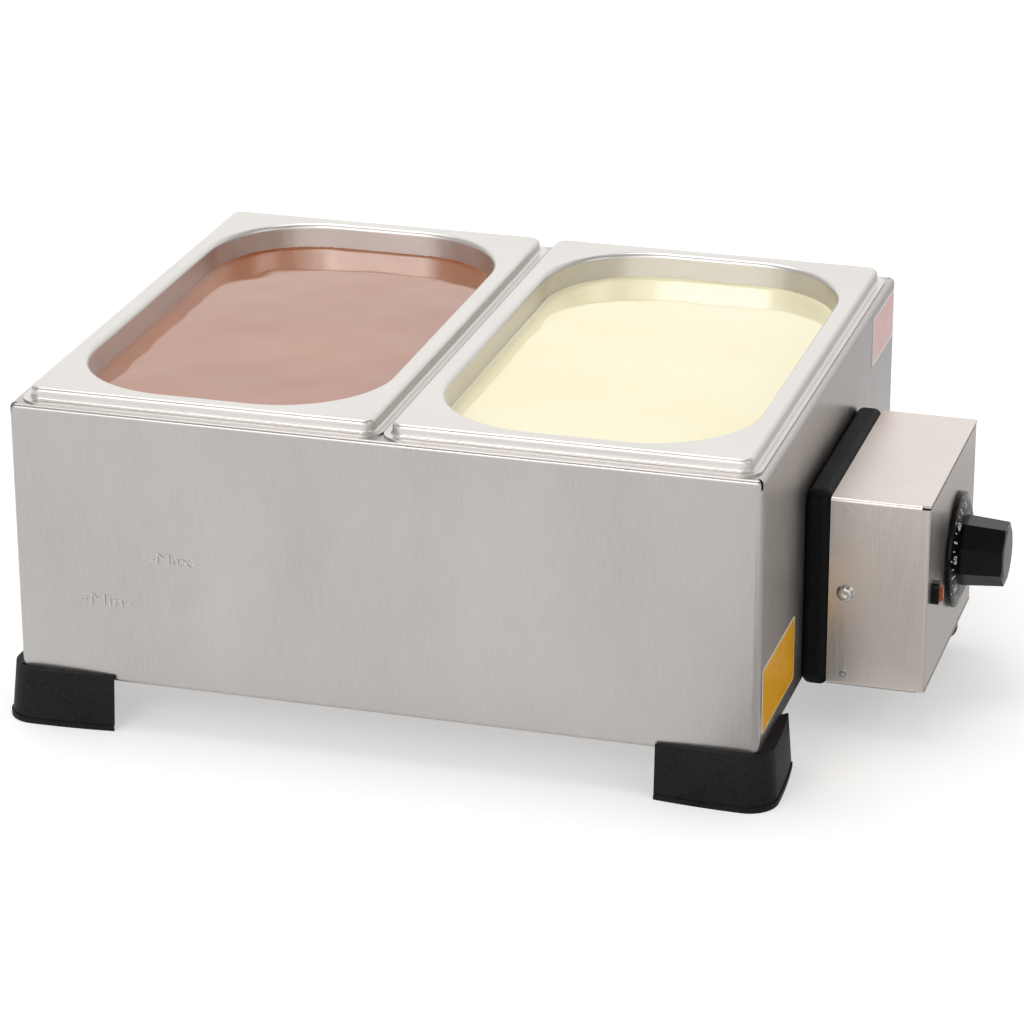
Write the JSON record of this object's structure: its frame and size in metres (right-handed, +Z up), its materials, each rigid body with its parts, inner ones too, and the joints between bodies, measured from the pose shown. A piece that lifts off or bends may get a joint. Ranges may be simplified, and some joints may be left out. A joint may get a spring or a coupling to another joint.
{
  "type": "chocolate melting tank",
  "caption": "Counter-top water-bath melting tank: folded steel bath on rubber corner boots, lift-out pans of melted chocolate, and an end control box with a thermostat knob.",
  "frame": {"origin": "on the table, in the middle of the part's footprint", "axes": "+Z up, -Y the front, +X towards the control box"},
  "size_m": [0.4164, 0.2824, 0.1532],
  "materials": {
    "bath_steel": "brushed",
    "pan_steel": "satin",
    "box_steel": "brushed",
    "bracket_steel": "zinc plated",
    "fastener_steel": "bright",
    "heater_steel": "dull",
    "brass": "turned",
    "copper": "drawn",
    "boot_rubber": "matte",
    "pad_rubber": "matte",
    "gasket_rubber": "matte",
    "wire_cover": "satin",
    "milk_chocolate": "melted",
    "white_chocolate": "melted",
    "black_plastic": "gloss",
    "cap_plastic": "satin",
    "lens_plastic": "translucent",
    "pale_plastic": "matte",
    "yellow_film": "satin",
    "red_film": "satin"
  },
  "bodies": {
    "bath": {"tank_shell": "bath_steel", "front_left_foot": "boot_rubber", "front_right_foot": "boot_rubber", "rear_left_foot": "boot_rubber", "rear_right_foot": "boot_rubber", "heating_element": "heater_steel", "heater_bushes": "brass", "heater_gaskets": "gasket_rubber", "heater_nuts": "brass", "heater_terminals": "pale_plastic", "heater_stand": "heater_steel", "sensing_bulb": "copper", "bulb_stand": "heater_steel", "bulb_gland": "brass", "bulb_gland_nut": "brass", "capillary_tube": "copper", "spacer_pad": "pad_rubber", "bracket_studs": "fastener_steel", "mounting_bracket": "bracket_steel", "bracket_nuts": "fastener_steel", "control_box_shell": "box_steel", "box_rivets": "fastener_steel", "box_screws": "fastener_steel", "box_screw_nuts": "fastener_steel", "thermostat_body": "pale_plastic", "thermostat_screws": "fastener_steel", "lamp_bezel": "black_plastic", "lamp_lens": "lens_plastic", "lamp_holder": "pale_plastic", "terminal_block": "pale_plastic", "terminal_block_screw": "fastener_steel", "internal_wires": "wire_cover", "gland_body": "black_plastic", "gland_dome": "black_plastic", "gland_locknut": "black_plastic", "yellow_label": "yellow_film", "red_label": "red_film"},
    "left_pan_load": {"left_pan": "pan_steel", "milk_chocolate": "milk_chocolate"},
    "right_pan_load": {"right_pan": "pan_steel", "white_chocolate": "white_chocolate"},
    "knob": {"dial_skirt": "black_plastic", "knob_grip": "black_plastic", "knob_cap": "cap_plastic", "thermostat_spindle": "bracket_steel"}
  },
  "joints": [
    {"name": "left_pan_lift", "type": "slide", "parent": "bath", "child": "left_pan_load", "axis": [0, 0, 1], "range_m": [0, 0.11]},
    {"name": "right_pan_lift", "type": "slide", "parent": "bath", "child": "right_pan_load", "axis": [0, 0, 1], "range_m": [0, 0.11]},
    {"name": "knob_turn", "type": "hinge", "parent": "bath", "child": "knob", "pos_m": [0.1846, 0.013, 0.065], "axis": [-1, 0, 0], "range_deg": [0, 270]}
  ]
}
